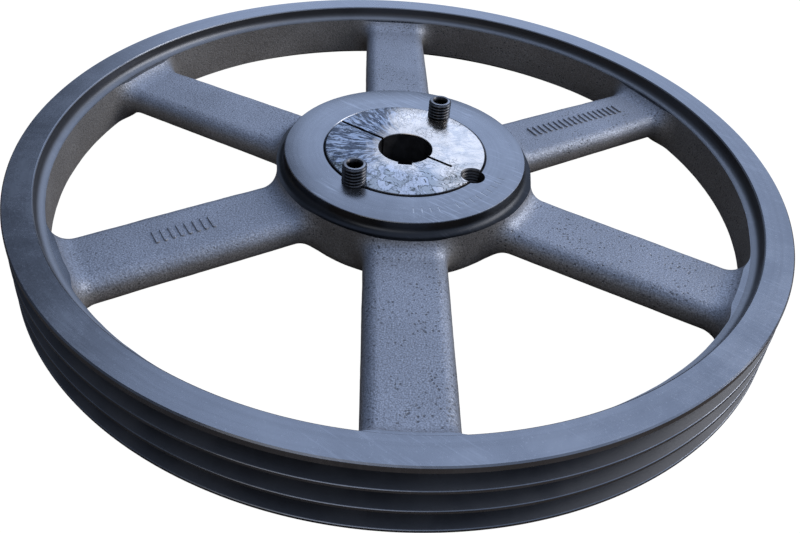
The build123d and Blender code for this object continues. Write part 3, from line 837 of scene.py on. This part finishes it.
def oily_face_painted_light_material():
    """Bush face: bright turned iron under an oil film, scored by radial streaks and edged with dried crinkles; painted
    light across it: dark on the left as painted shade, near white on the right as a painted highlight, a bluish painted
    reflection low at the front and thin painted glints.
    """
    m = Nodes("oiled_bush_face_painted_light")
    r, t, z = m.polar()
    warp = m.noise(70, 3.0, 0.6)
    wobble = m.math("MULTIPLY", m.math("SUBTRACT", warp, 0.5), 2.6)
    streak = m.noise(1.0, 4.0, 0.62, distortion=0.5,
                     vector=m.vec(m.math("MULTIPLY", r, 70.0), m.math("ADD", m.math("MULTIPLY", t, 15.0), wobble), 0.0))
    fine = m.noise(1.0, 3.0, 0.6, vector=m.vec(m.math("MULTIPLY", r, 120.0), m.math("MULTIPLY", t, 42.0), 3.0))
    lines = m.noise(1.0, 3.0, 0.7, vector=m.vec(m.math("MULTIPLY", r, 2400.0), m.math("MULTIPLY", t, 1.6), 0.0))
    # crinkles: thin dark outlines of dried film, in patches
    cells = m.add("ShaderNodeTexVoronoi", feature="DISTANCE_TO_EDGE")
    shifted = m.add("ShaderNodeVectorMath", operation="ADD")
    m.link(m.p, shifted.inputs[0])
    jitter = m.add("ShaderNodeTexNoise")
    jitter.inputs["Scale"].default_value = 110
    m.link(m.p, jitter.inputs["Vector"])
    small = m.add("ShaderNodeVectorMath", operation="SCALE")
    m.link(jitter.outputs["Color"], small.inputs[0])
    small.inputs["Scale"].default_value = 0.010
    m.link(small.outputs[0], shifted.inputs[1])
    m.link(shifted.outputs[0], cells.inputs["Vector"])
    cells.inputs["Scale"].default_value = 300
    patch = m.ramp(m.noise(55, 3.0, 0.5), 0.48, 0.58)
    crinkle = m.math("MULTIPLY", m.ramp(cells.outputs["Distance"], 0.02, 0.09, 1.0, 0.0), patch)
    film = m.noise(60, 4.0, 0.65, distortion=0.8)
    part = m.add("ShaderNodeSeparateXYZ")
    m.link(m.p, part.inputs[0])
    across = m.math("ADD", part.outputs[0], m.math("MULTIPLY", m.math("SUBTRACT", film, 0.5), 0.050))
    across = m.math("SUBTRACT", across, m.math("MULTIPLY", part.outputs[1], 0.18))
    painted_shade_left = m.ramp(across, -0.026, -0.004, 1.0, 0.0)          # painted shade: the left of the face is coloured dark, with oil streaks in it
    # painted highlight: the right of the face is bright iron lifted to near white, standing in for the key light's
    # reflection
    bright = m.mix(m.ramp(film, 0.34, 0.52), (0.66, 0.62, 0.58), (0.92, 0.82, 0.72))
    # painted reflection: a bluish patch low at the front stands in for reflected sky
    front = m.ramp(m.math("ADD", part.outputs[1], m.math("MULTIPLY", m.math("SUBTRACT", film, 0.5), 0.040)), -0.030, -0.012, 1.0, 0.0)
    front = m.math("MULTIPLY", front, m.ramp(part.outputs[0], 0.018, 0.032, 1.0, 0.0))
    bright = m.mix(m.math("MULTIPLY", front, 0.80), bright, (0.42, 0.46, 0.54))
    # oil streaks kept dark as painted shade, with painted glints: thin near-white radial lines
    oil_streaks_shade_glints = m.mix(m.ramp(streak, 0.47, 0.57), (0.045, 0.055, 0.078), (0.29, 0.33, 0.40))
    oil_streaks_shade_glints = m.mix(m.ramp(fine, 0.58, 0.66, 0.0, 0.55), oil_streaks_shade_glints, (0.78, 0.80, 0.86))
    bright = m.mix(m.ramp(fine, 0.50, 0.64, 0.0, 0.38), bright, (0.36, 0.40, 0.47))
    c = m.mix(painted_shade_left, bright, oil_streaks_shade_glints)
    c = m.mix(m.ramp(streak, 0.60, 0.70, 0.0, 0.30), c, (0.16, 0.18, 0.22))
    # torn edges of the dried film: thin wandering lines, thick towards the front
    torn = m.noise(84, 4.0, 0.60, distortion=1.5)
    edge = m.math("ABSOLUTE", m.math("SUBTRACT", torn, 0.5))
    rim_of_film = m.ramp(edge, 0.008, 0.030, 1.0, 0.0)
    low = m.ramp(m.math("ADD", part.outputs[1], m.math("MULTIPLY", m.math("SUBTRACT", film, 0.5), 0.060)), -0.034, -0.012, 1.0, 0.12)
    rim_of_film = m.math("MULTIPLY", rim_of_film, low)
    sheet = m.math("MULTIPLY", m.ramp(torn, 0.50, 0.54), low)
    c = m.mix(m.math("MULTIPLY", sheet, 0.50), c, (0.250, 0.268, 0.255))
    c = m.mix(m.math("MULTIPLY", rim_of_film, 0.92), c, (0.038, 0.044, 0.038))
    c = m.mix(m.math("MULTIPLY", crinkle, 0.40), c, (0.120, 0.130, 0.125))
    height = m.math("ADD", m.math("MULTIPLY", streak, 1.0),
                    m.math("ADD", m.math("MULTIPLY", fine, 0.35), m.math("MULTIPLY", lines, 0.04)))
    height = m.math("ADD", height, m.math("MULTIPLY", crinkle, -0.25))
    height = m.math("ADD", height, m.math("MULTIPLY", m.math("MULTIPLY", torn, low), 0.8))
    normal = m.bump(height, 0.00045, 0.5)
    return m.done(c, m.ramp(film, 0.3, 0.7, 0.14, 0.26), 1.0, normal, 0.5)


def seat_material():
    """Bores, slots and screw holes: slightly oily cut metal, coloured near black as painted shade inside them."""
    m = Nodes("bore_painted_shade")
    smudge = m.noise(90, 3.0, 0.6)
    lines = m.noise(700, 3.0, 0.6)
    # painted shade: the inside of bores, slots and holes is coloured near black
    c = m.mix(m.ramp(smudge, 0.3, 0.7), (0.028, 0.027, 0.028), (0.072, 0.069, 0.070))
    return m.done(c, m.ramp(smudge, 0.3, 0.7, 0.25, 0.45), 0.6, m.bump(lines, 0.0001, 0.4), 0.5)


def screw_material():
    """Black oxide with lighter thread crests, from wear and as a painted highlight, and a top painted lighter."""
    m = Nodes("black_oxide")
    smudge = m.noise(260, 4.0, 0.6)
    speck = m.noise(2200, 2.0, 0.5)
    c = m.mix(m.ramp(smudge, 0.35, 0.7), (0.007, 0.007, 0.008), (0.020, 0.020, 0.022))
    # painted light: the upward-facing top is coloured lighter
    c = m.mix(m.ramp(m.normal_z(), 0.75, 0.97, 0.0, 0.85), c, (0.125, 0.130, 0.142))
    point = m.add("ShaderNodeNewGeometry")
    # thread crests lighter: real wear and a painted highlight
    crest_wear_and_highlight = m.ramp(point.outputs["Pointiness"], 0.515, 0.58)
    c = m.mix(m.math("MULTIPLY", crest_wear_and_highlight, 0.62), c, (0.46, 0.46, 0.48))
    normal = m.bump(m.math("ADD", m.math("MULTIPLY", smudge, 0.7), m.math("MULTIPLY", speck, 0.3)), 0.00012, 0.6)
    return m.done(c, m.ramp(smudge, 0.3, 0.7, 0.20, 0.36), 0.9, normal, 0.5)


mat_cast = cast_material()
mat_turned = turned_material("turned_iron", (0.282, 0.294, 0.322), (0.224, 0.234, 0.258), 0.24)
mat_groove = groove_material()
# painted shade: the recess walls that stand vertical are coloured near black, the upward faces keep the lighter tone
mat_recess = turned_material("turned_recess", (0.230, 0.240, 0.262), (0.180, 0.188, 0.206), 0.38, metal=0.62,
                              painted_facing_shade=(0.070, 0.070, 0.074))
mat_seat = seat_material()
mat_face = oily_face_painted_light_material()
# painted shade: the flange side and its root fillet are coloured near black, darkest on their upward-facing parts
mat_collar = turned_material("turned_collar", (0.034, 0.035, 0.038), (0.020, 0.021, 0.024), 0.34,
                              painted_facing_shade=(0.066, 0.068, 0.073))
mat_stamp = turned_material("stamped_bright", (0.46, 0.47, 0.49), (0.36, 0.37, 0.39), 0.40)
mat_screw = screw_material()
MATS = [mat_cast, mat_turned, mat_groove, mat_recess, mat_seat, mat_face, mat_collar, mat_stamp]

# --------------------------------------------------------------------------
# The pieces
# --------------------------------------------------------------------------
wheel = make_wheel(MATS)
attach(wheel, "wheel")
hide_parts("pulley_wheel")

bush = make_bush(MATS)
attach(bush, "bush")
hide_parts("taper_bush")

for tag, ang in zip(("a", "b"), SCREW_ANGLES):
    s_lo, s_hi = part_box("locking_screw_" + tag)
    screw = make_screw("set_screw_" + tag, ang, mat_screw, float(s_hi.z) * 1000)
    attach(screw, "screw_" + tag)
    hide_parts("locking_screw_" + tag)

# --------------------------------------------------------------------------
# Stage, light, camera
# --------------------------------------------------------------------------
scene = bpy.context.scene
scene.view_settings.view_transform = "Standard"
scene.view_settings.look = "None"


def floor_material():
    """White sweep to the camera; to the object it is a dim warm floor, so its undersides stay dark."""
    m = Nodes("pale_floor")
    grain = m.noise(35, 3.0, 0.5)
    c = m.mix(m.ramp(grain, 0.3, 0.7), (0.90, 0.90, 0.90), (0.93, 0.93, 0.93))
    m.put(m.bsdf.inputs["Base Color"], c)
    m.bsdf.inputs["Roughness"].default_value = 0.9
    m.bsdf.inputs["Specular IOR Level"].default_value = 0.1
    white = m.add("ShaderNodeEmission")
    white.inputs["Color"].default_value = (1, 1, 1, 1)
    white.inputs["Strength"].default_value = 1.08
    shown = m.add("ShaderNodeMixShader")
    shown.inputs[0].default_value = 0.93
    m.link(m.bsdf.outputs[0], shown.inputs[1])
    m.link(white.outputs[0], shown.inputs[2])
    dim = m.add("ShaderNodeBsdfDiffuse")
    dim.inputs["Color"].default_value = (0.150, 0.120, 0.095, 1)
    path = m.add("ShaderNodeLightPath")
    both = m.add("ShaderNodeMixShader")
    m.link(path.outputs["Is Camera Ray"], both.inputs[0])
    m.link(dim.outputs[0], both.inputs[1])
    m.link(shown.outputs[0], both.inputs[2])
    # seen from below the floor is not there
    clear = m.add("ShaderNodeBsdfTransparent")
    facing = m.add("ShaderNodeNewGeometry")
    sided = m.add("ShaderNodeMixShader")
    m.link(facing.outputs["Backfacing"], sided.inputs[0])
    m.link(both.outputs[0], sided.inputs[1])
    m.link(clear.outputs[0], sided.inputs[2])
    m.link(sided.outputs[0], m.out.inputs["Surface"])
    return m.mat


def build_stage():
    n, rings = 96, [0.0, 0.4, 0.8, 1.6, 4.0, 12.0, 40.0]
    verts = [(0, 0, 0)]
    for r in rings[1:]:
        verts += [(r * math.cos(2 * math.pi * i / n), r * math.sin(2 * math.pi * i / n), 0) for i in range(n)]
    faces = [(0, 1 + i, 1 + (i + 1) % n) for i in range(n)]
    for k in range(len(rings) - 2):
        for i in range(n):
            i2 = (i + 1) % n
            faces.append((1 + k * n + i, 1 + (k + 1) * n + i, 1 + (k + 1) * n + i2, 1 + k * n + i2))
    z = float(cad_lo.z) * 1000
    obj = add_object("studio_floor", np.array(verts) * 1000 + np.array([0, 0, z - 0.05]), faces, [floor_material()])
    return obj


build_stage()

def studio_world():
    """Soft sky: blue-white overhead and behind, dimmer behind to the left, dark low down and in front."""
    world = bpy.data.worlds.new("studio")
    world.use_nodes = True
    w = Nodes.__new__(Nodes)
    w.tree = world.node_tree
    w.tree.nodes.clear()
    out = w.add("ShaderNodeOutputWorld")
    coord = w.add("ShaderNodeTexCoord")
    split = w.add("ShaderNodeSeparateXYZ")
    w.link(coord.outputs["Generated"], split.inputs[0])
    x, y, z = split.outputs
    height = w.ramp(z, 0.02, 0.32)
    side = w.ramp(x, -0.41, -0.21, 0.10, 1.0)
    side = w.math("MULTIPLY", side, w.ramp(x, 0.16, 0.46, 1.0, 0.80))
    overhead = w.ramp(z, 0.72, 0.95)
    side = w.math("ADD", w.math("MULTIPLY", side, w.math("SUBTRACT", 1.0, overhead)), w.math("MULTIPLY", overhead, 0.85))
    front = w.ramp(y, -0.85, 0.15, 0.30, 1.0)
    level = w.math("MULTIPLY", w.math("MULTIPLY", height, side), front)
    level = w.math("MULTIPLY", level, w.ramp(z, 0.50, 0.66, 1.0, 0.84))
    level = w.math("ADD", level, 0.045)
    sky = w.add("ShaderNodeBackground")
    sky.inputs["Color"].default_value = (0.70, 0.86, 1.20, 1.0)
    w.link(w.math("MULTIPLY", level, SKY), sky.inputs["Strength"])
    plain = w.add("ShaderNodeBackground")
    plain.inputs["Color"].default_value = (1, 1, 1, 1)
    path = w.add("ShaderNodeLightPath")
    both = w.add("ShaderNodeMixShader")
    w.link(path.outputs["Is Camera Ray"], both.inputs[0])
    w.link(sky.outputs[0], both.inputs[1])
    w.link(plain.outputs[0], both.inputs[2])
    w.link(both.outputs[0], out.inputs["Surface"])
    scene.world = world


SKY = 1.26
studio_world()


def area(name, location, target, size, power, color=(1, 1, 1)):
    data = bpy.data.lights.new(name, "AREA")
    data.shape = "RECTANGLE"
    data.size, data.size_y = size
    data.energy = power
    data.color = color
    obj = bpy.data.objects.new(name, data)
    scene.collection.objects.link(obj)
    obj.location = location
    d = Vector(target) - Vector(location)
    obj.rotation_mode = "QUATERNION"
    obj.rotation_quaternion = d.to_track_quat("-Z", "Y")
    return obj


area("key_right", (1.7, 0.35, 1.1), (0, 0, 0), (1.2, 1.2), 25.0, (1.0, 0.98, 0.96))
area("fill_front", (-0.5, -1.9, 0.7), (0, 0, 0), (1.6, 1.0), 3.0, (1.0, 0.97, 0.93))

# The camera: its place, lens and picture centre come from a fit to the rim, hub, screws and arms.
CAM_D, CAM_EL, CAM_ROLL = 0.588142, math.radians(34.902), math.radians(5.184)
CAM_F, CENTRE_X, CENTRE_Y = 844.899, 402.435, 180.005
pos = Vector((0, -CAM_D * math.cos(CAM_EL), CAM_D * math.sin(CAM_EL)))
fw = (-pos).normalized()
right = fw.cross(Vector((0, 0, 1))).normalized()
up = right.cross(fw)
cr = right * math.cos(CAM_ROLL) + up * math.sin(CAM_ROLL)
cu = up * math.cos(CAM_ROLL) - right * math.sin(CAM_ROLL)
cam_data = bpy.data.cameras.new("photo_camera")
cam_data.sensor_fit = "HORIZONTAL"
cam_data.sensor_width = 36.0
cam_data.lens = CAM_F / 800.0 * 36.0
cam_data.clip_start, cam_data.clip_end = 0.01, 100.0
cam = bpy.data.objects.new("photo_camera", cam_data)
scene.collection.objects.link(cam)
cam.matrix_world = Matrix((
    (cr.x, cu.x, -fw.x, pos.x),
    (cr.y, cu.y, -fw.y, pos.y),
    (cr.z, cu.z, -fw.z, pos.z),
    (0, 0, 0, 1),
))
station = bpy.data.objects.new("photo_station", None)
station.location = pos
scene.collection.objects.link(station)


def shift_here(path, value):
    """Lens shift at the photo's station only; 50 mm away from it there is none."""
    curve = cam_data.driver_add(path)
    curve.driver.type = "SUM"
    var = curve.driver.variables.new()
    var.type = "LOC_DIFF"
    var.targets[0].id, var.targets[1].id = cam, station
    while len(curve.modifiers):
        curve.modifiers.remove(curve.modifiers[0])
    while len(curve.keyframe_points):
        curve.keyframe_points.remove(curve.keyframe_points[0])
    curve.extrapolation = "CONSTANT"
    curve.keyframe_points.add(2)
    curve.keyframe_points[0].co = (0.0, value)
    curve.keyframe_points[1].co = (0.05, 0.0)
    for key in curve.keyframe_points:
        key.interpolation = "LINEAR"
    curve.update()


shift_here("shift_x", (400.0 - CENTRE_X) / 800.0)
shift_here("shift_y", (CENTRE_Y - 266.5) / 800.0)
scene.camera = cam

bpy.context.view_layer.update()
